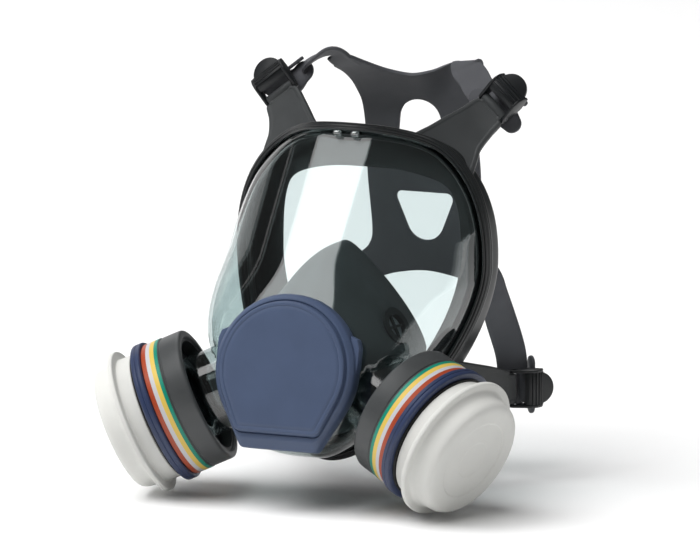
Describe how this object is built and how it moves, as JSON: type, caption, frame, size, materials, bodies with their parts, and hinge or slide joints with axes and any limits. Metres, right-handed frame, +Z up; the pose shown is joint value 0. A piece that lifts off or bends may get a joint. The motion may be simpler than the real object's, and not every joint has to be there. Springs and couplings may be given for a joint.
{
  "type": "full-face respirator",
  "caption": "Full-face respirator with a clear curved lens, blue exhalation cover, striped twist-on canisters with white particle filters, and a rubber head harness held by tilting buckles.",
  "frame": {"origin": "middle of the face seal's opening, where the wearer's face meets the mask", "axes": "+Y from the front of the mask to the back of the head, +Z up, +X to the right as seen from the front"},
  "size_m": [0.275, 0.2461, 0.263],
  "materials": {
    "lens": "clear moulded polycarbonate",
    "face_rubber": "soft black rubber with a satin sheen",
    "cup_rubber": "matte dark rubber",
    "dark_plastic": "moulded dark plastic",
    "silicone": "thin silicone",
    "cover_blue": "fine matte texture",
    "ring_blue": "smooth satin",
    "port_plastic": "clear moulded plastic",
    "gasket_rubber": "black rubber",
    "canister_shell": "fine satin texture",
    "canister_base": "moulded plastic",
    "charcoal": "packed granules",
    "screen_metal": "thin sheet",
    "band_stripes": "printed colour stripes with no text",
    "filter_white": "off-white moulded shell",
    "filter_felt": "packed felt",
    "harness_rubber": "matte dark rubber",
    "pin_steel": "ground",
    "buckle_plastic": "moulded near-black plastic"
  },
  "bodies": {
    "mask": {"visor_lens": "lens", "facepiece_skirt": "face_rubber", "nose_cup": "cup_rubber", "exhalation_housing": "dark_plastic", "exhalation_cover": "cover_blue", "filter_port_left": "port_plastic", "filter_port_right": "port_plastic", "port_gasket_left": "gasket_rubber", "port_gasket_right": "gasket_rubber", "cup_valve_seat_left": "dark_plastic", "cup_valve_seat_right": "dark_plastic", "head_harness": "harness_rubber", "buckle_pin_upper_left": "pin_steel", "buckle_pin_upper_right": "pin_steel", "buckle_pin_lower_left": "pin_steel", "buckle_pin_lower_right": "pin_steel"},
    "exhalation_flap_body": {"exhalation_flap": "silicone"},
    "inhalation_flap_left_body": {"inhalation_flap_left": "silicone"},
    "inhalation_flap_right_body": {"inhalation_flap_right": "silicone"},
    "cup_valve_flap_left_body": {"cup_valve_flap_left": "silicone"},
    "cup_valve_flap_right_body": {"cup_valve_flap_right": "silicone"},
    "filter_left": {"canister_body_left": "canister_shell", "canister_base_left": "canister_base", "charcoal_bed_left": "charcoal", "canister_screens_left": "screen_metal", "label_band_left": "band_stripes", "adapter_ring_left": "ring_blue", "prefilter_gasket_left": "gasket_rubber"},
    "filter_right": {"canister_body_right": "canister_shell", "canister_base_right": "canister_base", "charcoal_bed_right": "charcoal", "canister_screens_right": "screen_metal", "label_band_right": "band_stripes", "adapter_ring_right": "ring_blue", "prefilter_gasket_right": "gasket_rubber"},
    "prefilter_left": {"prefilter_housing_left": "filter_white", "prefilter_media_left": "filter_felt"},
    "prefilter_right": {"prefilter_housing_right": "filter_white", "prefilter_media_right": "filter_felt"},
    "buckle_upper_left_body": {"buckle_upper_left": "buckle_plastic", "strap_loop_upper_left": "harness_rubber"},
    "buckle_upper_right_body": {"buckle_upper_right": "buckle_plastic", "strap_loop_upper_right": "harness_rubber"},
    "buckle_lower_left_body": {"buckle_lower_left": "buckle_plastic", "strap_loop_lower_left": "harness_rubber"},
    "buckle_lower_right_body": {"buckle_lower_right": "buckle_plastic", "strap_loop_lower_right": "harness_rubber"}
  },
  "joints": [
    {"name": "exhalation_flap_lift", "type": "slide", "parent": "mask", "child": "exhalation_flap_body", "axis": [0, -0.9732, 0.23], "range_m": [0, 0.002], "stiffness_N_per_m": 15},
    {"name": "inhalation_flap_left_lift", "type": "slide", "parent": "mask", "child": "inhalation_flap_left_body", "axis": [0.8797, 0.2429, 0.4089], "range_m": [0, 0.002], "stiffness_N_per_m": 15},
    {"name": "cup_valve_flap_left_lift", "type": "slide", "parent": "mask", "child": "cup_valve_flap_left_body", "axis": [0.8798, 0.12, -0.4599], "range_m": [0, 0.0012], "stiffness_N_per_m": 15},
    {"name": "filter_left_turn", "type": "hinge", "parent": "mask", "child": "filter_left", "pos_m": [-0.066, -0.097, -0.064], "axis": [-0.8797, -0.2429, -0.4089], "range_deg": [0, 60]},
    {"name": "prefilter_left_turn", "type": "hinge", "parent": "filter_left", "child": "prefilter_left", "pos_m": [-0.09591, -0.10526, -0.0779], "axis": [-0.8797, -0.2429, -0.4089], "range_deg": [0, 30]},
    {"name": "buckle_upper_left_tilt", "type": "hinge", "parent": "mask", "child": "buckle_upper_left_body", "pos_m": [-0.0735, 0.029, 0.1075], "axis": [0.7607, 0.1902, 0.6206], "range_deg": [0, 60]},
    {"name": "buckle_lower_left_tilt", "type": "hinge", "parent": "mask", "child": "buckle_lower_left_body", "pos_m": [-0.085, 0.035, -0.072], "axis": [0, 0, 1], "range_deg": [0, 60]},
    {"name": "inhalation_flap_right_lift", "type": "slide", "parent": "mask", "child": "inhalation_flap_right_body", "axis": [-0.8797, 0.2429, 0.4089], "range_m": [0, 0.002], "stiffness_N_per_m": 15},
    {"name": "cup_valve_flap_right_lift", "type": "slide", "parent": "mask", "child": "cup_valve_flap_right_body", "axis": [-0.8798, 0.12, -0.4599], "range_m": [0, 0.0012], "stiffness_N_per_m": 15},
    {"name": "filter_right_turn", "type": "hinge", "parent": "mask", "child": "filter_right", "pos_m": [0.066, -0.097, -0.064], "axis": [0.8797, -0.2429, -0.4089], "range_deg": [0, 60]},
    {"name": "prefilter_right_turn", "type": "hinge", "parent": "filter_right", "child": "prefilter_right", "pos_m": [0.09591, -0.10526, -0.0779], "axis": [0.8797, -0.2429, -0.4089], "range_deg": [0, 30]},
    {"name": "buckle_upper_right_tilt", "type": "hinge", "parent": "mask", "child": "buckle_upper_right_body", "pos_m": [0.0735, 0.029, 0.1075], "axis": [0.7607, -0.1902, -0.6206], "range_deg": [0, 60]},
    {"name": "buckle_lower_right_tilt", "type": "hinge", "parent": "mask", "child": "buckle_lower_right_body", "pos_m": [0.085, 0.035, -0.072], "axis": [0, 0, -1], "range_deg": [0, 60]}
  ]
}
